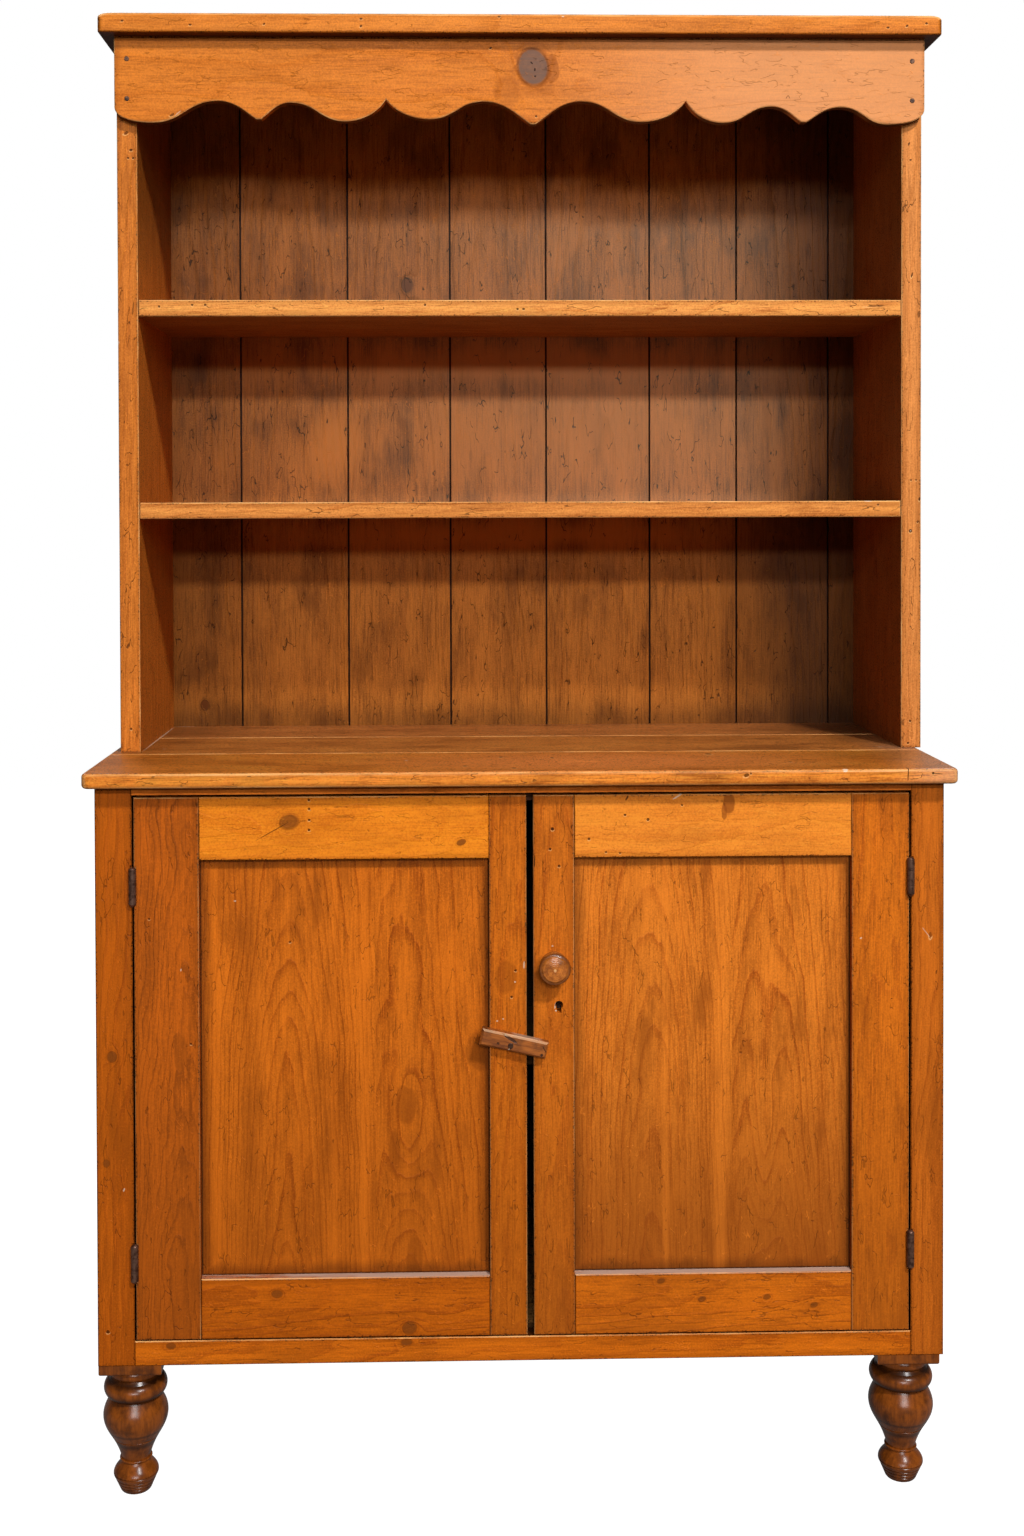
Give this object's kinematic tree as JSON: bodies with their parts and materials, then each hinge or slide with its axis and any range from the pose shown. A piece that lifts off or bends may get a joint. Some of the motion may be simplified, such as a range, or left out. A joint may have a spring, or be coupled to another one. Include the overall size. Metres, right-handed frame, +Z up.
{
  "type": "step back cupboard",
  "caption": "Pine step back cupboard: open shelves under a scalloped frieze and cornice, a wider counter, framed doors below and turned feet.",
  "frame": {"origin": "on the floor, in the middle of the whole piece's width and depth", "axes": "+X to the right of a person facing the doors, +Y to the back, +Z up"},
  "size_m": [1.166, 0.5041, 1.9845],
  "materials": {
    "honey_pine": "old wax on honey pine",
    "door_pine": "old wax on honey pine",
    "panel_pine": "old wax on figured pine",
    "plain_pine": "bare aged pine",
    "counter_pine": "rubbed wax on worn pine",
    "cornice_pine": "old wax on honey pine",
    "back_pine": "dark aged wax on pine",
    "dark_turned_wood": "dark stain with a satin sheen",
    "dark_handled_wood": "brown stain polished by hands",
    "brown_iron": "brown patina",
    "screw_iron": "dull dark iron",
    "lock_iron": "dull filed iron"
  },
  "bodies": {
    "case": {"back_board_1": "back_pine", "back_board_2": "back_pine", "back_board_3": "back_pine", "back_board_4": "back_pine", "back_board_5": "back_pine", "back_board_6": "back_pine", "back_board_7": "back_pine", "back_board_8": "back_pine", "back_left_foot": "dark_turned_wood", "back_right_foot": "dark_turned_wood", "bottom_rail": "honey_pine", "case_floor": "plain_pine", "case_hinge_leaves": "brown_iron", "case_hinge_screws": "screw_iron", "cornice_board": "cornice_pine", "counter_back_board": "counter_pine", "counter_front_board": "counter_pine", "counter_middle_board": "counter_pine", "door_stop_strip": "plain_pine", "foot_blocks": "plain_pine", "frieze_nails": "screw_iron", "front_left_foot": "dark_turned_wood", "front_right_foot": "dark_turned_wood", "hinge_pins": "brown_iron", "inner_shelf": "plain_pine", "left_front_post": "honey_pine", "left_lower_side": "honey_pine", "left_upper_side": "honey_pine", "lower_back_board_1": "plain_pine", "lower_back_board_2": "plain_pine", "lower_back_board_3": "plain_pine", "middle_shelf": "honey_pine", "right_front_post": "honey_pine", "right_lower_side": "honey_pine", "right_upper_side": "honey_pine", "scalloped_frieze": "cornice_pine", "shelf_cleats": "plain_pine", "top_rail": "honey_pine", "upper_shelf": "honey_pine"},
    "left_door": {"left_door_bottom_rail": "door_pine", "left_door_hinge_leaves": "brown_iron", "left_door_hinge_screws": "screw_iron", "left_door_hinge_stile": "door_pine", "left_door_meeting_stile": "door_pine", "left_door_panel": "panel_pine", "left_door_top_rail": "door_pine", "turn_button_screw": "screw_iron"},
    "right_door": {"door_knob": "dark_handled_wood", "lock_case": "lock_iron", "lock_screws": "screw_iron", "right_door_bottom_rail": "door_pine", "right_door_hinge_leaves": "brown_iron", "right_door_hinge_screws": "screw_iron", "right_door_hinge_stile": "door_pine", "right_door_meeting_stile": "door_pine", "right_door_panel": "panel_pine", "right_door_top_rail": "door_pine"},
    "turn_button": {"turn_button": "dark_handled_wood"},
    "lock_bolt": {"lock_bolt": "lock_iron"}
  },
  "joints": [
    {"name": "left_door_hinge", "type": "hinge", "parent": "case", "child": "left_door", "pos_m": [-0.51575, -0.225, 0.575], "axis": [0, 0, -1], "range_deg": [0, 170]},
    {"name": "right_door_hinge", "type": "hinge", "parent": "case", "child": "right_door", "pos_m": [0.50225, -0.225, 0.575], "axis": [0, 0, 1], "range_deg": [0, 170]},
    {"name": "turn_button_pivot", "type": "hinge", "parent": "left_door", "child": "turn_button", "pos_m": [-0.0245, -0.2291, 0.6024], "axis": [0, -1, 0], "continuous": true},
    {"name": "lock_bolt_slide", "type": "slide", "parent": "right_door", "child": "lock_bolt", "axis": [-1, 0, 0], "range_m": [0, 0.014]}
  ]
}
